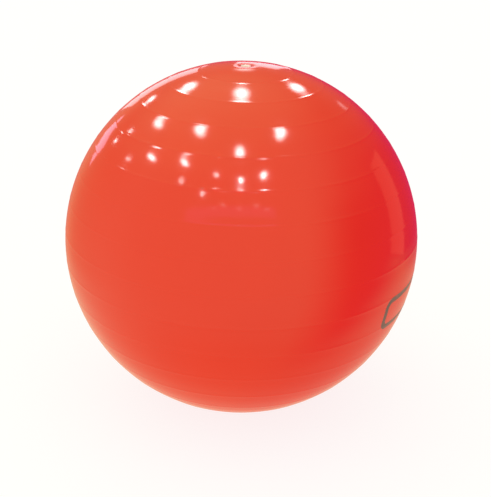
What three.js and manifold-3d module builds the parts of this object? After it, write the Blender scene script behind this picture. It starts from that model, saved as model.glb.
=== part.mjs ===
// Gym ball: a hollow moulded skin with raised rings, a valve bush at its top pole and a push-in plug.
// Millimetres, +Z up. The origin is the middle of the flat patch that the ball stands on.

import * as THREE from "three";
import { mergeVertices } from "three/addons/utils/BufferGeometryUtils.js";
import Module from "manifold-3d";

// Skin
const ballDiameter = 650;
const skinThickness = 0.8;
const footRadius = 36; // the patch that the ball's own weight presses flat on the floor
const ringPitchDegrees = 10; // latitude from one moulded ring to the next
const ringWidth = 8;
const ringHeight = 0.25;

// Valve pad, the flat and thicker disc of skin at the top pole
const padRadius = 23;
const padThickness = 2.4;
const padFadeWidth = 6; // over which the pad thins out into the skin, on the inside

// Valve seat, the soft bush that is moulded into the pad
const seatRadius = 13.7;
const flangeRadius = 19;
const flangeThickness = 1.6;
const recessDepth = 2.4; // sinks the plug's head
const boreRadius = 4.6;
const sleeveWall = 2.2;
const sleeveLength = 17; // below the floor of the recess
const seatEdge = 0.5; // chamfer on the seat's rims
const pryNotchWidth = 6; // a tool goes in here to lift the plug
const pryNotchReach = 3; // past the edge of the recess
const pryNotchDepth = 1.9;

// Plug
const headRadius = 9;
const headThickness = 2.2;
const headCrown = 0.5; // how far the middle of the head is domed above its edge
const stemLength = 16;
const barbCount = 4;
const barbHeight = 0.6;
const barbRamp = 0.55; // shares of a barb's pitch: its slope, its flat and its step back
const barbFlat = 0.15;
const barbBack = 0.1;
const coreRadius = 1.9; // the stem is hollow from its tip
const coreDepth = 11;
const tipTaper = 1.1;

// Gap between pieces that fit into each other
const fitGap = 0.3;

// Facets
const skinSides = 40;
const valveSides = 32;
const arcStepDegrees = 5; // longest step along the skin between its rings
const ringSteps = [-0.5, 0, 0.5]; // points across a ring, in half widths from its middle
const weldDistance = 1e-4; // corners closer than this are one corner

const ballRadius = ballDiameter / 2;
const centreHeight = Math.sqrt(ballRadius ** 2 - footRadius ** 2);
const padHeight = centreHeight + Math.sqrt(ballRadius ** 2 - padRadius ** 2);
const holeRadius = seatRadius + fitGap;
const recessRadius = headRadius + fitGap;
const sleeveRadius = boreRadius + sleeveWall;
const barbRadius = boreRadius - fitGap;
const shankRadius = barbRadius - barbHeight;

// A closed body turned about +Z from an outline of [radius, height] points, which runs from the lower
// end up the outside and ends on the axis or where it began.
function turned(outline, sides) {
  const points = outline.map(([radius, height]) => new THREE.Vector2(radius, height));
  return new THREE.LatheGeometry(points, sides).rotateX(Math.PI / 2);
}

function pieceOf(name, geometry, material) {
  const piece = new THREE.Mesh(geometry, material);
  piece.name = name;
  return piece;
}

// Angles from one to another in equal steps, both ends included.
function evenSteps(from, to, longest) {
  const count = Math.max(1, Math.ceil((to - from) / longest));
  return Array.from({ length: count + 1 }, (_, i) => from + ((to - from) * i) / count);
}

// A point of the meridian at a latitude, on a sphere about the ball's centre.
function onMeridian(latitude, radius) {
  return [radius * Math.cos(latitude), centreHeight + radius * Math.sin(latitude)];
}

// Latitudes of the rings that lie clear of the foot and of the valve pad.
function ringLatitudes(lowest, highest) {
  const pitch = THREE.MathUtils.degToRad(ringPitchDegrees);
  const halfRing = ringWidth / 2 / ballRadius;
  const latitudes = [];
  for (let latitude = pitch / 2; latitude < Math.PI / 2; latitude += pitch) {
    latitudes.push(latitude, -latitude);
  }
  return latitudes
    .filter((latitude) => latitude - 2 * halfRing > lowest && latitude + 2 * halfRing < highest)
    .sort((a, b) => a - b);
}

// The outside of the skin, from the edge of the foot up to the edge of the valve pad. Each ring is a
// low rounded rib, half of a cosine wave high.
function outerMeridian() {
  const lowest = -Math.acos(footRadius / ballRadius);
  const highest = Math.acos(padRadius / ballRadius);
  const arcStep = THREE.MathUtils.degToRad(arcStepDegrees);
  const halfRing = ringWidth / 2 / ballRadius;
  const outline = [];
  let start = lowest;
  for (const ring of ringLatitudes(lowest, highest)) {
    outline.push(...evenSteps(start, ring - halfRing, arcStep).map((a) => onMeridian(a, ballRadius)));
    for (const across of ringSteps) {
      const lift = ringHeight * Math.cos((across * Math.PI) / 2) ** 2;
      outline.push(onMeridian(ring + across * halfRing, ballRadius + lift));
    }
    start = ring + halfRing;
  }
  outline.push(...evenSteps(start, highest, arcStep).map((a) => onMeridian(a, ballRadius)));
  return outline;
}

// The inside of the skin, from the pad down to the foot.
function innerMeridian() {
  const radius = ballRadius - skinThickness;
  const lowest = -Math.asin((centreHeight - skinThickness) / radius);
  const highest = Math.acos((padRadius + padFadeWidth) / radius);
  const arcStep = THREE.MathUtils.degToRad(arcStepDegrees);
  return evenSteps(lowest, highest, arcStep)
    .reverse()
    .map((latitude) => onMeridian(latitude, radius));
}

function ballSkin(material) {
  const outline = [
    [0, 0],
    ...outerMeridian(),
    [holeRadius, padHeight],
    [holeRadius, padHeight - padThickness],
    [padRadius, padHeight - padThickness],
    ...innerMeridian(),
    [0, skinThickness],
  ];
  return pieceOf("ball_skin", turned(outline, skinSides), material);
}

// A closed geometry as a solid that can be cut, and a solid as a geometry.
const wasm = await Module();
wasm.setup();

function solidOf(geometry) {
  const bare = geometry.clone().deleteAttribute("normal").deleteAttribute("uv");
  const merged = mergeVertices(bare, weldDistance);
  const vertProperties = merged.attributes.position.array;
  const triVerts = new Uint32Array(merged.index.array);
  return new wasm.Manifold(new wasm.Mesh({ numProp: 3, vertProperties, triVerts }));
}

function geometryOf(solid) {
  const mesh = solid.getMesh();
  const geometry = new THREE.BufferGeometry();
  geometry.setAttribute("position", new THREE.BufferAttribute(mesh.vertProperties, 3));
  geometry.setIndex(new THREE.BufferAttribute(mesh.triVerts, 1));
  return geometry;
}

// The bush, with its height counted from the outer face of the pad. Its flange lies under the pad,
// its sleeve reaches into the ball, and two notches beside the recess let a tool under the plug's head.
function valveSeat(material) {
  const flangeTop = -padThickness - fitGap;
  const flangeBottom = flangeTop - flangeThickness;
  const sleeveEnd = -recessDepth - sleeveLength;
  const outline = [
    [boreRadius, sleeveEnd],
    [sleeveRadius - seatEdge, sleeveEnd],
    [sleeveRadius, sleeveEnd + seatEdge],
    [sleeveRadius, flangeBottom],
    [flangeRadius - seatEdge, flangeBottom],
    [flangeRadius, flangeBottom + seatEdge],
    [flangeRadius, flangeTop],
    [seatRadius, flangeTop],
    [seatRadius, -seatEdge],
    [seatRadius - seatEdge, 0],
    [recessRadius + seatEdge, 0],
    [recessRadius, -seatEdge],
    [recessRadius, -recessDepth],
    [boreRadius + seatEdge, -recessDepth],
    [boreRadius, -recessDepth - seatEdge],
    [boreRadius, sleeveEnd],
  ];
  const notchLength = 2 * (recessRadius + pryNotchReach);
  const notches = new THREE.BoxGeometry(notchLength, pryNotchWidth, 2 * pryNotchDepth);
  const bush = solidOf(turned(outline, valveSides)).subtract(solidOf(notches));
  return pieceOf("valve_seat", geometryOf(bush), material);
}

// The stopper, with its height counted from the floor of the recess that its head sits on.
function valvePlug(material) {
  const barbPitch = (stemLength - tipTaper) / barbCount;
  const outline = [
    [0, coreDepth - stemLength],
    [coreRadius, coreDepth - stemLength],
    [coreRadius, -stemLength],
    [shankRadius - tipTaper / 2, -stemLength],
    [shankRadius, tipTaper - stemLength],
  ];
  for (let barb = 0; barb < barbCount; barb += 1) {
    const foot = tipTaper - stemLength + barb * barbPitch;
    outline.push([barbRadius, foot + barbRamp * barbPitch]);
    outline.push([barbRadius, foot + (barbRamp + barbFlat) * barbPitch]);
    outline.push([shankRadius, foot + (barbRamp + barbFlat + barbBack) * barbPitch]);
  }
  outline.push([shankRadius, 0]);
  outline.push([headRadius, 0]);
  outline.push([headRadius, headThickness - headCrown]);
  outline.push([headRadius - headCrown, headThickness]);
  outline.push([headRadius / 2, headThickness + 0.75 * headCrown]);
  outline.push([0, headThickness + headCrown]);
  const plug = pieceOf("valve_plug", turned(outline, valveSides), material);
  plug.position.z = fitGap - recessDepth;
  return plug;
}

const redVinyl = new THREE.MeshStandardMaterial({ color: 0xe84a33, roughness: 0.12, metalness: 0 });
const redSoftVinyl = new THREE.MeshStandardMaterial({ color: 0xd8402c, roughness: 0.3, metalness: 0 });
const whiteNylon = new THREE.MeshStandardMaterial({ color: 0xeceae2, roughness: 0.4, metalness: 0 });

const valve = new THREE.Group();
valve.position.z = padHeight;
valve.add(valveSeat(redSoftVinyl), valvePlug(whiteNylon));

const gymBall = new THREE.Group();
gymBall.add(ballSkin(redVinyl), valve);

export default gymBall;
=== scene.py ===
# Gym ball: a glossy ringed skin with its valve bush and plug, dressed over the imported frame.
from math import cos, radians, sin, sqrt

import bpy
import numpy as np
from mathutils import Matrix, Vector


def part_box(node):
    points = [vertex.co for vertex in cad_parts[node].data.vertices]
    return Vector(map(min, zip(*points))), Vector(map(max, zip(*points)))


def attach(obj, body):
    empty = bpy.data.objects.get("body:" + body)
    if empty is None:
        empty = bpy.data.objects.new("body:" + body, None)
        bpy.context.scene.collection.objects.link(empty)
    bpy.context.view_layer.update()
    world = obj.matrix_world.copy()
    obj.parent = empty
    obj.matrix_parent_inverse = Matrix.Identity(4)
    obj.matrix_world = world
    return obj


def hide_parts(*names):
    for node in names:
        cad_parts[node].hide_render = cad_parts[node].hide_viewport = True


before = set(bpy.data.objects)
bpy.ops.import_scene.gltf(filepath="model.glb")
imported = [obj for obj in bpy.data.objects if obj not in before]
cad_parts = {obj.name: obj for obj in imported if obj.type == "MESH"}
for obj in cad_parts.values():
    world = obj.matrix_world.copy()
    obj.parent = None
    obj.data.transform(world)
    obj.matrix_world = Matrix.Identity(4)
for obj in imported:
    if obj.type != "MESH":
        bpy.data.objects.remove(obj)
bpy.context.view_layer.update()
mm = 0.001  # in metres
white = (1, 1, 1, 1)
print("frame loaded:", ", ".join(sorted(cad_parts)))


# Every corner of an outline becomes a short curve: with the corner as control point P and points A and
# C on its two edges, B(s) = (1-s)^2 A + 2s(1-s) P + s^2 C. A and C lie one reach from P, or nearer where
# an edge is short. The first and last points stay as they are.
def rounded(corners, reach, steps=5, largestShare=0.45):
    corners = np.asarray(corners, float)
    inner = corners[1:-1]
    back = corners[:-2] - inner
    ahead = corners[2:] - inner
    backLength = np.linalg.norm(back, axis=1, keepdims=True)
    aheadLength = np.linalg.norm(ahead, axis=1, keepdims=True)
    start = inner + back / backLength * np.minimum(reach, largestShare * backLength)
    end = inner + ahead / aheadLength * np.minimum(reach, largestShare * aheadLength)
    s = np.linspace(0, 1, steps)[None, :, None]
    curves = (1 - s) ** 2 * start[:, None] + 2 * s * (1 - s) * inner[:, None] + s**2 * end[:, None]
    return np.vstack([corners[:1], curves.reshape(-1, 2), corners[-1:]])


def evenTurn(sides):
    return np.linspace(0, 2 * np.pi, sides, endpoint=False)


# A turned surface: each row (radius, height) of the profile is carried round the vertical axis,
# P(u, v) = (radius(v) cos u, radius(v) sin u, height(v)), with the same angles u for every row or one set
# for each. A row on the axis closes to one point, and a profile with no end on the axis runs back into
# its first row.
def turned(profile, angle):
    onAxis = np.isclose(profile[:, 0], 0)
    rows = profile[~onAxis]
    sides = angle.shape[-1]
    points = np.empty((len(rows), sides, 3))
    points[..., 0] = rows[:, :1] * np.cos(angle)
    points[..., 1] = rows[:, :1] * np.sin(angle)
    points[..., 2] = rows[:, 1:]
    grid = np.arange(len(rows) * sides).reshape(len(rows), sides)
    if not onAxis.any():
        grid = np.vstack([grid, grid[:1]])
    onward = np.roll(grid, -1, axis=1)
    quads = np.stack([grid[:-1], onward[:-1], onward[1:], grid[1:]], axis=-1).reshape(-1, 4)
    faces = quads.tolist()
    points = points.reshape(-1, 3)
    if onAxis[0]:
        pole = np.full(sides, len(points))
        points = np.vstack([points, [0, 0, profile[0, 1]]])
        faces += np.stack([pole, onward[0], grid[0]], axis=-1).tolist()
    if onAxis[-1]:
        pole = np.full(sides, len(points))
        points = np.vstack([points, [0, 0, profile[-1, 1]]])
        faces += np.stack([grid[-1], onward[-1], pole], axis=-1).tolist()
    return points, faces


# Puts points and faces into a smooth mesh object that rides on a body in place of a CAD node.
def piece(name, points, faces, material, body, node, slot, sharpAngle=50):
    mesh = bpy.data.meshes.new(name)
    mesh.from_pydata(points.tolist(), [], faces)
    mesh.shade_smooth()
    mesh.set_sharp_from_angle(angle=radians(sharpAngle))
    mesh.materials.append(material)
    made = bpy.data.objects.new(name, mesh)
    bpy.context.scene.collection.objects.link(made)
    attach(made, body)
    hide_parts(node)
    print(name, "made with", len(faces), "faces")


# Short forms for building node trees
def addNode(tree, kind, **settings):
    made = tree.nodes.new(kind)
    for name, value in settings.items():
        setattr(made, name, value)
    return made


def feed(tree, socket, value):
    if isinstance(value, bpy.types.NodeSocket):
        tree.links.new(value, socket)
    else:
        socket.default_value = value


def maths(tree, operation, *values):
    made = addNode(tree, "ShaderNodeMath", operation=operation)
    for socket, value in zip(made.inputs, values):
        feed(tree, socket, value)
    return made.outputs[0]


def vectorMaths(tree, operation, vector, fixed):
    made = addNode(tree, "ShaderNodeVectorMath", operation=operation)
    feed(tree, made.inputs[0], vector)
    made.inputs[1].default_value = fixed
    return made.outputs["Value"]


def noise(tree, vector, scale, detail=2.0, roughness=0.5):
    made = addNode(tree, "ShaderNodeTexNoise")
    feed(tree, made.inputs["Vector"], vector)
    made.inputs["Scale"].default_value = scale
    made.inputs["Detail"].default_value = detail
    made.inputs["Roughness"].default_value = roughness
    return made.outputs["Fac"]


def ramp(tree, value, start, end, atStart=0.0, atEnd=1.0):
    made = addNode(tree, "ShaderNodeMapRange", interpolation_type="SMOOTHSTEP")
    feed(tree, made.inputs["Value"], value)
    made.inputs["From Min"].default_value = start
    made.inputs["From Max"].default_value = end
    made.inputs["To Min"].default_value = atStart
    made.inputs["To Max"].default_value = atEnd
    return made.outputs["Result"]


def mixColour(tree, share, first, second):
    made = addNode(tree, "ShaderNodeMix", data_type="RGBA")
    feed(tree, made.inputs["Factor"], share)
    feed(tree, made.inputs["A"], first)
    feed(tree, made.inputs["B"], second)
    return made.outputs["Result"]


def newMaterial(name):
    material = bpy.data.materials.new(name)
    material.use_nodes = True
    shader = next(n for n in material.node_tree.nodes if n.type == "BSDF_PRINCIPLED")
    return material, shader


def objectCoordinates(tree):
    return addNode(tree, "ShaderNodeTexCoord").outputs["Object"]


# Patches over a surface, from one value to another between two levels of a noise
def mottle(tree, where, scale, levels, values=(0.0, 1.0), detail=2.0, roughness=0.5):
    return ramp(tree, noise(tree, where, scale, detail, roughness), *levels, *values)


# Fine relief all over a surface, its depth in millimetres
def roughen(tree, shader, where, scale, strength, depth):
    relief = addNode(tree, "ShaderNodeBump")
    relief.inputs["Strength"].default_value = strength
    relief.inputs["Distance"].default_value = depth * mm
    feed(tree, relief.inputs["Height"], noise(tree, where, scale))
    feed(tree, shader.inputs["Normal"], relief.outputs["Normal"])


# Light that goes a little way into a soft plastic, its depth in millimetres
def letLightIn(shader, share, colour, depth):
    shader.inputs["Subsurface Weight"].default_value = share
    shader.inputs["Subsurface Radius"].default_value = colour
    shader.inputs["Subsurface Scale"].default_value = depth * mm


# The skin, with lengths in millimetres, angles in degrees and noise scales in patches to a metre
skin = {
    "thickness": 0.8,
    "footRadius": 36.0,
    "ringPitch": 10.0,
    "ringWidth": 8.0,
    "ringHeight": 0.25,
    "padRadius": 23.0,
    "padThickness": 2.4,
    "padFade": 6.0,
    "holeRadius": 14.0,
    "edgeRound": 0.4,
    "slackHeight": 0.35,  # long, low waves of a soft skin that isn't a perfect sphere
    "slackWaves": [(4.1, 0, 2.3, 0.4), (-3.1, 3.7, 0, 1.3), (0, 2.7, 4.9, 2.2)],  # X, Y, Z and phase
    "rippleHeight": 0.05,
    "rippleWaves": [(17, 9, 0, 0), (11, 0, 13, 0.7)],
    "slackStart": 0.13,  # the waves begin this far from the axis, in ball radii,
    "slackFade": 0.12,  # and grow over this stretch
    "sides": 256,
    "footSteps": 7,
    "ringSteps": 8,
    "gapSteps": 6,
    "insideSteps": 48,
    "red": (0.785, 0.035, 0.0148, 1),
    "deepRed": (0.765, 0.0325, 0.0142, 1),
    "driftScale": 5.0,
    "driftLevels": (0.35, 0.7),
    "roughness": (0.095, 0.12),  # clean and handled
    "markScale": 14.0,
    "markLevels": (0.45, 0.75),
    "peelScale": 600.0,
    "peelStrength": 0.05,
    "peelDepth": 0.02,
    "ior": 1.5,
}

skinLow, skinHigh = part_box("ball_skin")
ballRadius = (skinHigh.x - skinLow.x) / 2
centreHeight = sqrt(ballRadius**2 - (skin["footRadius"] * mm) ** 2)
padHeight = centreHeight + sqrt(ballRadius**2 - (skin["padRadius"] * mm) ** 2)
ballCentre = Vector((0, 0, centreHeight))


# Points (radius, height) of a circle about the ball's centre: (r cos a, centre + r sin a)
def onMeridian(latitude, reach):
    return np.stack([reach * np.cos(latitude), centreHeight + reach * np.sin(latitude)], axis=1)


# The outside, up from the edge of the foot to the edge of the valve pad. Its distance from the ball's
# centre is R + h cos^2(pi d / w) within half a ring's width w of a ring, d being the distance along the
# skin from the ring's middle, and R elsewhere. Rings within half their width of the foot or the pad are
# left out.
def outerSkin():
    pitch = radians(skin["ringPitch"])
    halfRing = skin["ringWidth"] * mm / 2 / ballRadius
    lowest = -np.arccos(skin["footRadius"] * mm / ballRadius)
    highest = np.arccos(skin["padRadius"] * mm / ballRadius)
    rings = np.arange(-np.pi / 2 + pitch / 2, np.pi / 2, pitch)
    rings = rings[(rings - 2 * halfRing > lowest) & (rings + 2 * halfRing < highest)]

    across = np.linspace(-1, 1, skin["ringSteps"] + 1)
    onRings = (rings[:, None] + halfRing * across).ravel()
    gapStart = np.append(lowest, rings + halfRing)
    gapEnd = np.append(rings - halfRing, highest)
    along = np.linspace(0, 1, skin["gapSteps"] + 1)[1:-1]
    inGaps = (gapStart[:, None] + (gapEnd - gapStart)[:, None] * along).ravel()
    latitude = np.sort(np.concatenate([[lowest], onRings, inGaps, [highest]]))
    offRing = np.abs(latitude[:, None] - rings).min(axis=1) / halfRing
    lift = skin["ringHeight"] * mm * np.cos(np.pi / 2 * np.minimum(offRing, 1)) ** 2
    return onMeridian(latitude, ballRadius + lift)


# The inside, an arc from the end of the pad's fade down to the inner floor, one thickness within the ball
def innerSkin():
    reach = ballRadius - skin["thickness"] * mm
    highest = np.arccos((skin["padRadius"] + skin["padFade"]) * mm / reach)
    lowest = -np.arcsin((centreHeight - skin["thickness"] * mm) / reach)
    return onMeridian(np.linspace(highest, lowest, skin["insideSteps"]), reach)


# The whole outline: out along the flat foot, up the outside, down through the rounded hole in the pad,
# and down the inside to the inner floor.
def skinProfile():
    outside = outerSkin()
    inside = innerSkin()
    foot = np.linspace([0, 0], [skin["footRadius"] * mm, 0], skin["footSteps"], endpoint=False)
    holeRadius = skin["holeRadius"] * mm
    padUnder = padHeight - skin["padThickness"] * mm
    hole = [
        outside[-1],
        [holeRadius, padHeight],
        [holeRadius, padUnder],
        [skin["padRadius"] * mm, padUnder],
        inside[0],
    ]
    lip = rounded(hole, skin["edgeRound"] * mm)
    return np.vstack([foot, outside, lip[1:-1], inside, [[0, skin["thickness"] * mm]]])


# One sine for each row (x, y, z, phase), over directions n: sin(x nx + y ny + z nz + phase)
def sineWaves(n, rows):
    rows = np.array(rows)
    return np.sin(n @ rows[:, :3].T + rows[:, 3])


# A soft skin is never a perfect sphere: the distance from the centre gains the mean of a few long waves
# and the product of two finer ones. With t from 0 to 1 away from the axis both grow by t^2 (3 - 2t), so
# the foot and the valve pad stay as they are.
def slackened(points):
    fromCentre = points - np.array(ballCentre)
    n = fromCentre / np.linalg.norm(fromCentre, axis=1, keepdims=True)
    longWaves = sineWaves(n, skin["slackWaves"]).mean(axis=1)
    ripples = sineWaves(n, skin["rippleWaves"]).prod(axis=1)
    t = np.clip((np.hypot(n[:, 0], n[:, 1]) - skin["slackStart"]) / skin["slackFade"], 0, 1)
    lift = (skin["slackHeight"] * longWaves + skin["rippleHeight"] * ripples) * mm * t**2 * (3 - 2 * t)
    return points + n * lift[:, None]


# A plain printed frame in millimetres, with its place on the ball as two angles
printFrame = {
    "longitude": 65.3,
    "latitude": -10.75,
    "width": 150.0,
    "height": 54.0,
    "corner": 16.0,
    "line": 11.0,
    "softEdge": 0.4,
    "nearSide": (0.0, 100.0),  # stretch towards the frame over which the far side of the ball is left out
    "ink": (0.10, 0.095, 0.085, 1),
    "roughness": 0.3,
    "wornScale": 160.0,
    "wornLevels": (0.30, 0.42),
    "wornShares": (0.55, 1.0),  # ink left where it is worn and where it isn't
}


# How much ink lies on the skin, from 0 to 1: with q = |p| - (half size - corner) in the frame's own
# plane, the distance to its rounded outline is |max(q, 0)| + min(max(qx, qy), 0) - corner.
def printedInk(tree, where):
    lon = radians(printFrame["longitude"])
    lat = radians(printFrame["latitude"])
    east = Vector((cos(lon), sin(lon), 0))
    out = Vector((sin(lon) * cos(lat), -cos(lon) * cos(lat), sin(lat)))
    north = out.cross(east)
    corner = printFrame["corner"] * mm

    def beyond(axis, size):
        along = maths(tree, "SUBTRACT", vectorMaths(tree, "DOT_PRODUCT", where, axis), ballCentre.dot(axis))
        return maths(tree, "SUBTRACT", maths(tree, "ABSOLUTE", along), size * mm / 2 - corner)

    across = beyond(east, printFrame["width"])
    upright = beyond(north, printFrame["height"])
    outside = [maths(tree, "MAXIMUM", q, 0.0) for q in (across, upright)]
    squares = [maths(tree, "MULTIPLY", q, q) for q in outside]
    reach = maths(tree, "SQRT", maths(tree, "ADD", *squares))
    within = maths(tree, "MINIMUM", maths(tree, "MAXIMUM", across, upright), 0.0)
    distance = maths(tree, "SUBTRACT", maths(tree, "ADD", reach, within), corner)
    half = printFrame["line"] * mm / 2
    edge = printFrame["softEdge"] * mm
    line = ramp(tree, maths(tree, "ABSOLUTE", distance), half - edge, half + edge, 1.0, 0.0)
    nearStart, nearEnd = printFrame["nearSide"]
    near = ramp(tree, vectorMaths(tree, "DOT_PRODUCT", where, out), nearStart * mm, nearEnd * mm)
    worn = mottle(
        tree, where, printFrame["wornScale"], printFrame["wornLevels"], printFrame["wornShares"],
        detail=5.0, roughness=0.7,
    )
    return maths(tree, "MULTIPLY", maths(tree, "MULTIPLY", line, near), worn)


# Glossy soft PVC: a red that drifts a little in depth, a faint orange-peel surface, and hand marks that
# dull the gloss here and there.
def vinylMaterial():
    material, shader = newMaterial("glossy_red_vinyl")
    tree = material.node_tree
    where = objectCoordinates(tree)
    drift = mottle(tree, where, skin["driftScale"], skin["driftLevels"], detail=3.0)
    red = mixColour(tree, drift, skin["red"], skin["deepRed"])
    ink = printedInk(tree, where)
    feed(tree, shader.inputs["Base Color"], mixColour(tree, ink, red, printFrame["ink"]))
    marks = mottle(
        tree, where, skin["markScale"], skin["markLevels"], skin["roughness"], detail=5.0, roughness=0.6
    )
    inkRoughness = maths(tree, "MULTIPLY", ink, printFrame["roughness"])
    feed(tree, shader.inputs["Roughness"], maths(tree, "MAXIMUM", marks, inkRoughness))
    roughen(tree, shader, where, skin["peelScale"], skin["peelStrength"], skin["peelDepth"])
    shader.inputs["IOR"].default_value = skin["ior"]
    return material


points, faces = turned(skinProfile(), evenTurn(skin["sides"]))
piece("ringed_skin", slackened(points), faces, vinylMaterial(), "ball", "ball_skin", "skin")

# The valve bush in millimetres, heights counted from the outer face of the pad
bush = {
    "seatRadius": 13.7,
    "flangeRadius": 19.0,
    "flangeThickness": 1.6,
    "recessRadius": 9.3,
    "recessDepth": 2.4,
    "boreRadius": 4.6,
    "sleeveRadius": 6.8,
    "sleeveLength": 17.0,
    "notchWidth": 6.0,
    "notchReach": 3.0,
    "notchDepth": 1.9,
    "notchFloor": 0.9,  # share of a notch's width that is its flat floor, between sloping walls
    "fitGap": 0.3,
    "edgeRound": 0.35,
    "sides": 192,
    "notchSteps": 6,
    "outerRimSteps": 4,
    "innerRimSteps": 6,
    "red": (0.70, 0.030, 0.012, 1),
    "deepRed": (0.66, 0.027, 0.011, 1),
    "swirlScale": 220.0,
    "swirlLevels": (0.35, 0.7),
    "roughness": (0.2, 0.23),
    "sheenScale": 400.0,
    "sheenLevels": (0.3, 0.7),
    "specular": 0.3,
    "ior": 1.5,
    "lightInShare": 0.15,
    "lightInColour": (1.0, 0.15, 0.08),
    "lightInDepth": 3.0,
}


# The bush's outline, which closes half way down its bore: the sleeve, the flange under the pad, the seat
# in the pad's hole, the rim where the notches will be, the recess and its floor. Corners are rounded.
def bushProfile():
    edge = bush["edgeRound"]
    under = -skin["padThickness"] - bush["fitGap"]
    flangeLow = under - bush["flangeThickness"]
    end = -bush["recessDepth"] - bush["sleeveLength"]
    notchEnd = bush["recessRadius"] + bush["notchReach"]
    outerRim = np.linspace([bush["seatRadius"] - 2 * edge, 0], [notchEnd, 0], bush["outerRimSteps"])
    innerRim = np.linspace([notchEnd - edge, 0], [bush["recessRadius"] + 2 * edge, 0], bush["innerRimSteps"])
    boreMiddle = [bush["boreRadius"], end / 2]
    outside = [
        boreMiddle,
        [bush["boreRadius"], end],
        [bush["sleeveRadius"], end],
        [bush["sleeveRadius"], flangeLow],
        [bush["flangeRadius"], flangeLow],
        [bush["flangeRadius"], under],
        [bush["seatRadius"], under],
        [bush["seatRadius"], 0],
        outerRim[0],
    ]
    lip = [innerRim[-1], [bush["recessRadius"], 0], [bush["recessRadius"], -bush["recessDepth"] / 2]]
    underNotch = [bush["recessRadius"], (-bush["recessDepth"] - bush["notchDepth"]) / 2]
    recessFloor = [
        underNotch,
        [bush["recessRadius"], -bush["recessDepth"]],
        [bush["boreRadius"], -bush["recessDepth"]],
        boreMiddle,
    ]
    return np.vstack(
        [
            rounded(outside, edge)[:-1],
            outerRim,
            innerRim,
            rounded(lip, edge)[1:-1],
            rounded(recessFloor, edge)[:-1],
        ]
    )


# The outline is turned, with two notches in its top. At radius r a notch's edge lies at the angle
# a(r) = asin(half width / r), and the columns are spread so that one follows it: s a(r) inside the notch
# and a(r) + s (90 degrees - a(r)) outside, with s from 0 to 1. Inside, the height becomes min(z, -depth).
def bushPoints():
    profile = bushProfile()
    notchEnd = bush["recessRadius"] + bush["notchReach"]
    halfWidth = bush["notchWidth"] / 2
    notchEdge = np.arcsin(halfWidth / np.clip(profile[:, :1], bush["recessRadius"], notchEnd))
    inside = np.append(np.linspace(0, bush["notchFloor"], bush["notchSteps"]), 1)
    beside = np.linspace(0, 1, bush["sides"] // 4)[1:]
    quarter = np.hstack([notchEdge * inside, notchEdge + (np.pi / 2 - notchEdge) * beside])
    half = np.hstack([quarter, np.pi - quarter[:, -2:0:-1]])
    points, faces = turned(profile, np.hstack([half, half + np.pi]))
    radius = np.hypot(points[:, 0], points[:, 1])
    wallMiddle = halfWidth * (1 + bush["notchFloor"]) / 2
    inNotch = (np.abs(points[:, 1]) < wallMiddle) & (radius < notchEnd - bush["edgeRound"] / 2)
    points[:, 2] = np.where(inNotch, np.minimum(points[:, 2], -bush["notchDepth"]), points[:, 2])
    return points * mm + np.array([0, 0, padHeight]), faces


# Softer, less glossy PVC for the bush, with the faint swirl of a moulded piece
def softVinylMaterial():
    material, shader = newMaterial("soft_red_vinyl")
    tree = material.node_tree
    where = objectCoordinates(tree)
    swirl = mottle(tree, where, bush["swirlScale"], bush["swirlLevels"], detail=4.0)
    feed(tree, shader.inputs["Base Color"], mixColour(tree, swirl, bush["red"], bush["deepRed"]))
    sheen = mottle(tree, where, bush["sheenScale"], bush["sheenLevels"], bush["roughness"])
    feed(tree, shader.inputs["Roughness"], sheen)
    shader.inputs["Specular IOR Level"].default_value = bush["specular"]
    shader.inputs["IOR"].default_value = bush["ior"]
    letLightIn(shader, bush["lightInShare"], bush["lightInColour"], bush["lightInDepth"])
    return material


piece("valve_bush", *bushPoints(), softVinylMaterial(), "ball", "valve_seat", "seat")

# The plug in millimetres, heights counted from the underside of its head
plug = {
    "headRadius": 9.0,
    "headThickness": 2.2,
    "headCrown": 0.5,
    "stemLength": 16.0,
    "barbCount": 4,
    "barbHeight": 0.6,
    "barbRamp": 0.55,  # shares of a barb's pitch
    "barbFlat": 0.15,
    "barbBack": 0.1,
    "coreRadius": 1.9,
    "coreDepth": 11.0,
    "tipTaper": 1.1,
    "edgeRound": 0.35,
    "sides": 192,
    "domeSteps": 13,
    "white": (0.80, 0.74, 0.87, 1),
    "dullWhite": (0.78, 0.72, 0.845, 1),
    "cloudScale": 180.0,
    "cloudLevels": (0.3, 0.7),
    "roughness": (0.36, 0.42),
    "sheenScale": 1500.0,
    "sheenLevels": (0.3, 0.7),
    "grainScale": 2500.0,
    "grainStrength": 0.03,
    "grainDepth": 0.02,
    "ior": 1.5,
    "lightInShare": 0.3,
    "lightInColour": (1.0, 0.9, 0.8),
    "lightInDepth": 2.0,
}


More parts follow.
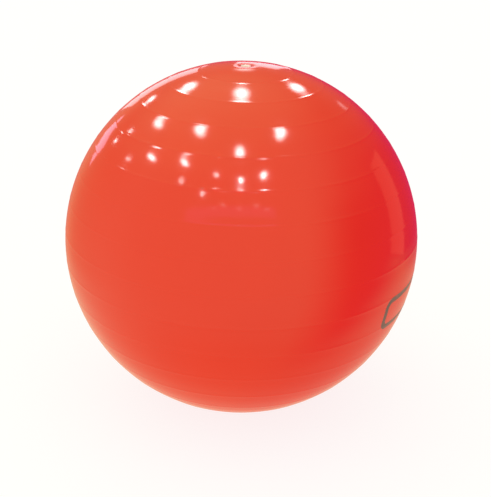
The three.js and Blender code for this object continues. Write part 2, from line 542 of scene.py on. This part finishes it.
# The stopper's outline: a hollow tapered tip, a stem with saw-tooth barbs that fit the bush's bore, and a
# head whose top is a shallow dome inside a bevelled edge, height = thickness + crown (1 - (r / D)^2) with
# D the dome's radius.
def plugProfile():
    barbRadius = bush["boreRadius"] - bush["fitGap"]
    shank = barbRadius - plug["barbHeight"]
    tip = -plug["stemLength"]
    coreTop = tip + plug["coreDepth"]
    pitch = (plug["stemLength"] - plug["tipTaper"]) / plug["barbCount"]
    foot = tip + plug["tipTaper"] + pitch * np.arange(plug["barbCount"])[:, None]
    rise = np.cumsum([plug["barbRamp"], plug["barbFlat"], plug["barbBack"]])
    teethHeights = foot + pitch * rise
    teethRadii = np.broadcast_to([barbRadius, barbRadius, shank], teethHeights.shape)
    domeRadius = plug["headRadius"] - plug["headCrown"]
    r = np.linspace(domeRadius, 0, plug["domeSteps"] + 1)[1:]
    dome = np.stack([r, plug["headThickness"] + plug["headCrown"] * (1 - (r / domeRadius) ** 2)], axis=1)
    corners = np.vstack(
        [
            [[0, coreTop], [plug["coreRadius"], coreTop], [plug["coreRadius"], tip]],
            [[shank - plug["tipTaper"] / 2, tip], [shank, tip + plug["tipTaper"]]],
            np.stack([teethRadii, teethHeights], axis=-1).reshape(-1, 2),
            [[shank, 0], [plug["headRadius"], 0]],
            [[plug["headRadius"], plug["headThickness"] - plug["headCrown"]]],
            [[domeRadius, plug["headThickness"]], dome[0]],
        ]
    )
    return np.vstack([rounded(corners, plug["edgeRound"])[:-1], dome])


def plugPoints():
    points, faces = turned(plugProfile(), evenTurn(plug["sides"]))
    lift = padHeight + (bush["fitGap"] - bush["recessDepth"]) * mm
    return points * mm + np.array([0, 0, lift]), faces


# Natural moulded plastic: milky white, a little translucent, with fine moulding texture
def milkyPlasticMaterial():
    material, shader = newMaterial("milky_plastic")
    tree = material.node_tree
    where = objectCoordinates(tree)
    cloud = mottle(tree, where, plug["cloudScale"], plug["cloudLevels"], detail=3.0)
    feed(tree, shader.inputs["Base Color"], mixColour(tree, cloud, plug["white"], plug["dullWhite"]))
    sheen = mottle(tree, where, plug["sheenScale"], plug["sheenLevels"], plug["roughness"])
    feed(tree, shader.inputs["Roughness"], sheen)
    roughen(tree, shader, where, plug["grainScale"], plug["grainStrength"], plug["grainDepth"])
    shader.inputs["IOR"].default_value = plug["ior"]
    letLightIn(shader, plug["lightInShare"], plug["lightInColour"], plug["lightInDepth"])
    return material


piece("push_in_plug", *plugPoints(), milkyPlasticMaterial(), "plug", "valve_plug", "plug")

# The floor, with its reach in metres, shows itself and the ball's shadow to the camera only: light from
# the tent below passes it.
floor = {"reach": 40.0, "colour": (0.19, 0.2, 0.26, 1), "roughness": 0.9, "glow": 0.83}


def layFloor():
    corners = floor["reach"] * np.array([[-1, -1, 0], [1, -1, 0], [1, 1, 0], [-1, 1, 0]])
    mesh = bpy.data.meshes.new("floor")
    mesh.from_pydata(corners.tolist(), [], [(0, 1, 2, 3)])
    made = bpy.data.objects.new("floor", mesh)
    bpy.context.scene.collection.objects.link(made)
    material, shader = newMaterial("pale_floor")
    shader.inputs["Base Color"].default_value = floor["colour"]
    shader.inputs["Roughness"].default_value = floor["roughness"]
    shader.inputs["Specular IOR Level"].default_value = 0.0
    shader.inputs["Emission Color"].default_value = white
    shader.inputs["Emission Strength"].default_value = floor["glow"]
    mesh.materials.append(material)
    made.visible_glossy = False
    made.visible_diffuse = False
    made.visible_transmission = False
    made.visible_shadow = False
    print("floor laid")


layFloor()


# A direction from an azimuth, counted from the camera's side towards the right, and an elevation
def direction(azimuth, elevation):
    a = radians(azimuth)
    e = radians(elevation)
    return Vector((sin(a) * cos(e), -cos(a) * cos(e), sin(e)))


# Soft light from all round, as in a light tent: warm in front, brighter high up behind, weaker behind and
# below, and a dim rosy wall along the right. The camera itself sees plain white. Each zone is an axis, and
# where along it the zone begins and where it is complete.
tent = {
    "front": (1.045, 1.01, 0.69, 1),
    "behind": (0.89, 0.45, 0.25, 1),
    "behindZone": ((0, 1, 0), -0.22, 0.81),
    "behindRise": ((0, 0, 1), -0.62, -0.3),
    "below": (1.08, 0.545, 0.355, 1),
    "belowZone": ((-0.05, -0.06, 1), -0.365, -1.06),
    "overhead": (1.17, 1.5, 0.79, 1),
    "overheadZone": ((-0.23, 0.24, 0.88), 0.55, 1.03),
    "wall": (0.75, 0.015, 0.225, 1),
    "wallFrontRise": ((0, -0.87, 1), -0.9, -0.33),
    "wallBackRise": ((0, 0.22, 1), -0.27, -0.125),
    "wallTop": ((0, 0, 1), 1.16, 0.15),
    "wallCorner": ((0, 0.89, 1), 1.37, 0.74),
    "wallSide": (direction(124, -10), 0.04, 0.7),  # an azimuth and an elevation
    "wallBehind": (0.655, 0.035, 0.155, 1),
    "wallBehindZone": ((0, 1, 0), 0.075, 0.945),
    "leftover": 0.23,  # share of the light behind and of the wall that stays below where they rise
}


def pitchTent():
    world = bpy.data.worlds.new("light_tent")
    bpy.context.scene.world = world
    world.use_nodes = True
    tree = world.node_tree
    sky = next(n for n in tree.nodes if n.type == "BACKGROUND")
    toward = addNode(tree, "ShaderNodeTexCoord").outputs["Generated"]

    # How far a direction lies in a zone, from 0 or a leftover share to 1
    def zone(name, least=0.0):
        axis, start, full = tent[name]
        return ramp(tree, vectorMaths(tree, "DOT_PRODUCT", toward, axis), start, full, least, 1.0)

    behind = maths(tree, "MULTIPLY", zone("behindZone"), zone("behindRise", tent["leftover"]))
    colour = mixColour(tree, behind, tent["front"], tent["behind"])
    colour = mixColour(tree, zone("belowZone"), colour, tent["below"])
    colour = mixColour(tree, zone("overheadZone"), colour, tent["overhead"])
    rises = [zone(name, tent["leftover"]) for name in ("wallFrontRise", "wallBackRise")]
    wall = maths(tree, "MAXIMUM", *rises)
    for name in ("wallTop", "wallCorner", "wallSide"):
        wall = maths(tree, "MULTIPLY", wall, zone(name))
    wallColour = mixColour(tree, zone("wallBehindZone"), tent["wall"], tent["wallBehind"])
    colour = mixColour(tree, wall, colour, wallColour)
    seen = addNode(tree, "ShaderNodeLightPath").outputs["Is Camera Ray"]
    feed(tree, sky.inputs["Color"], mixColour(tree, seen, colour, white))


pitchTent()


# Fades an oval light from its core to its edge: with q the distance of (u, v) from (1/2, 1/2), which is
# 1/2 at the edge, the strength falls smoothly from 1 at q = core / 2 to 0 at q = 1/2.
def fadeEdge(light, core):
    light.use_nodes = True
    tree = light.node_tree
    glow = next(n for n in tree.nodes if n.type == "EMISSION")
    place = addNode(tree, "ShaderNodeNewGeometry").outputs["Parametric"]
    fromMiddle = vectorMaths(tree, "DISTANCE", place, (0.5, 0.5, 0))
    feed(tree, glow.inputs["Strength"], ramp(tree, fromMiddle, core / 2, 0.5, 1.0, 0.0))


# A flat light that only the gloss shows. Its power follows from radiance L and area A: P = pi A L.
def mirroredLight(name, shape, middle, facing, along, width, length, radiance, colour=(1, 1, 1), core=1.0):
    light = bpy.data.lights.new(name, "AREA")
    light.shape = shape
    light.color = colour
    light.size = width
    light.size_y = length
    area = width * length * (np.pi / 4 if shape == "ELLIPSE" else 1)
    light.energy = radiance * np.pi * area
    if core < 1:
        fadeEdge(light, core)
    made = bpy.data.objects.new(name, light)
    back = -facing.normalized()
    side = along.cross(back).normalized()
    turn = Matrix((side, back.cross(side), back)).transposed()
    made.matrix_world = Matrix.Translation(middle) @ turn.to_4x4()
    made.visible_camera = False
    made.visible_diffuse = False
    bpy.context.scene.collection.objects.link(made)


# Ceiling lamps in a grid of rows and columns under a tilted, slightly bowed ceiling, lengths in ball radii
# from the ball's middle: Y = firstY + pitchY row, X = firstX + pitchX column + skew Y and
# Z = height + slope Y + bow Y^2. Lamps further left and in front are smaller, those further back are
# weaker. A group lists the places of like lamps as (row, column), with a fraction where one hangs out of
# line, and what sets them apart. Two lamps may hang at one place, one above the other.
lamps = {
    "pitchX": 5.0,
    "pitchY": 5.69,
    "firstX": -0.42,
    "firstY": 1.02,
    "skew": 0.017,
    "height": 14.0,
    "slope": -0.387,
    "bow": 0.004,
    "width": 2.3,
    "length": 5.2,
    "radiance": 30.0,
    "core": 0.05,  # share of a lamp that is fully bright
    "fade": 0.72,  # brightness of a lamp beside that of one a row in front
    "shrinkColumn": -1,  # lamps left of this column are smaller
    "shrinkLeft": 0.15,
    "shrinkFront": 0.11,
    "groups": [
        {"places": [(3, -2), (2, -1), (2, 1), (1, -4), (1, -2), (-1, -2), (-1, 0), (-2, 1)]},
        {"places": [(3, -4), (0, -3)], "scale": 1.15, "radiance": 40.0},
        {"places": [(1, 0)], "scale": 0.93},
        {"places": [(-0.1, 1)], "scale": 0.85, "radiance": 34.0},
        {"places": [(0, -1), (2, -3)], "scale": 0.85},
        {"places": [(3, 0)], "radiance": 8.0},
        {"places": [(3, 2)], "scale": 0.8, "radiance": 3.0, "lift": -0.8},
        {"places": [(-2, -1)], "scale": 0.5},
        {"places": [(-2, -3)], "scale": 0.9, "lift": 1.2},
        {"places": [(-3, 0)], "scale": 0.4, "radiance": 250.0, "lift": 3.2},
        {"places": [(-3, 0)], "scale": 0.34, "radiance": 250.0, "lift": -0.8},
        {"places": [(-3, -2)], "scale": 0.5, "radiance": 90.0, "lift": -2.8},
        {"places": [(-4, -3), (-4, -1), (-4, 1)], "scale": 1.4, "radiance": 1.2, "lift": -5.0},
        {"places": [(-5, -2), (-5, 0), (-5, 2)], "scale": 1.4, "radiance": 1.2, "lift": -5.0},
    ],
}


def hangLamps(places, scale=1.0, radiance=lamps["radiance"], lift=0.0):
    down = Vector((0, lamps["slope"], -1))
    along = Vector((0, 1, lamps["slope"]))
    for row, column in places:
        y = lamps["firstY"] + lamps["pitchY"] * row
        x = lamps["firstX"] + lamps["pitchX"] * column + lamps["skew"] * y
        z = lamps["height"] + lamps["slope"] * y + lamps["bow"] * y**2 + lift
        middle = ballCentre + Vector((x, y, z)) * ballRadius
        shrink = lamps["shrinkLeft"] * max(0, lamps["shrinkColumn"] - column)
        shrink += lamps["shrinkFront"] * max(0, -row)
        size = (1 - shrink) * scale * ballRadius
        width = lamps["width"] * size
        length = lamps["length"] * size
        glow = radiance * lamps["fade"] ** row
        name = f"lamp_{row}_{column}"
        mirroredLight(name, "ELLIPSE", middle, down, along, width, length, glow, core=lamps["core"])


for group in lamps["groups"]:
    hangLamps(**group)

# Long windows low behind the ball, a faint strip on its right and a fainter one in front, each from one
# azimuth and elevation to another and so many degrees thick
pink = (1.0, 0.82, 0.9)
blush = (1.0, 0.6, 0.88)
rose = (1.0, 0.36, 0.17)
lilac = (1.0, 0.15, 0.8)
windows = {
    "left": {"start": (-136, 6), "end": (-149, 7.5), "thickness": 9, "radiance": 1.8, "colour": blush},
    "backLeft": {"start": (-156.5, 5), "end": (-171, 13), "thickness": 13, "radiance": 1.55, "colour": pink},
    "back": {"start": (-178.5, 12), "end": (-187, 12), "thickness": 13, "radiance": 1.8, "colour": pink},
    "right": {"start": (111, -13), "end": (122, 20), "thickness": 17, "radiance": 0.65, "colour": rose},
    "front": {"start": (-39, 30), "end": (24, 35), "thickness": 6, "radiance": 0.6, "colour": lilac},
}
windowDistance = 12 * ballRadius


def openWindow(name, start, end, thickness, radiance, colour):
    first = ballCentre + direction(*start) * windowDistance
    last = ballCentre + direction(*end) * windowDistance
    middle = (first + last) / 2
    along = last - first
    width = windowDistance * radians(thickness)
    facing = ballCentre - middle
    mirroredLight(
        name + "_window", "RECTANGLE", middle, facing, along, width, along.length, radiance, colour
    )


for name, window in windows.items():
    openWindow(name, **window)
print("lights set:", len(bpy.data.lights), "lamps and windows in the tent")

# The camera stands where the photograph was taken: the middle of the ball is at a pixel of the 491 by
# 497 frame, and the ball's outline there has a radius in pixels.
photo = {"width": 491, "height": 497, "ballX": 241.5, "ballY": 237.0, "ballRadius": 176.0}
stand = {"elevation": 22.25, "lean": 1.44, "distanceInRadii": 6.0, "sensor": 24.0}


def placeCamera():
    focalPixels = photo["ballRadius"] * sqrt(stand["distanceInRadii"] ** 2 - 1)
    distance = stand["distanceInRadii"] * ballRadius
    elevation = radians(stand["elevation"])
    lean = radians(stand["lean"])
    back = Vector((0, -cos(elevation), sin(elevation)))
    level = Vector((1, 0, 0))
    steep = back.cross(level)
    right = cos(lean) * level + sin(lean) * steep
    up = cos(lean) * steep - sin(lean) * level
    toRight = (photo["width"] / 2 - photo["ballX"]) / focalPixels
    toUp = (photo["ballY"] - photo["height"] / 2) / focalPixels
    position = ballCentre + back * distance
    aim = (-back + right * toRight + up * toUp).normalized()
    across = aim.cross(up).normalized()
    turn = Matrix((across, across.cross(aim), -aim)).transposed()
    lens = bpy.data.cameras.new("photograph_view")
    lens.sensor_width = stand["sensor"]
    lens.lens = focalPixels / photo["height"] * stand["sensor"]
    made = bpy.data.objects.new("photograph_view", lens)
    made.matrix_world = Matrix.Translation(position) @ turn.to_4x4()
    bpy.context.scene.collection.objects.link(made)
    bpy.context.scene.camera = made
    print("camera: lens", round(lens.lens, 2), "mm on a", stand["sensor"], "mm sensor")


placeCamera()
bpy.context.scene.view_settings.view_transform = "Standard"
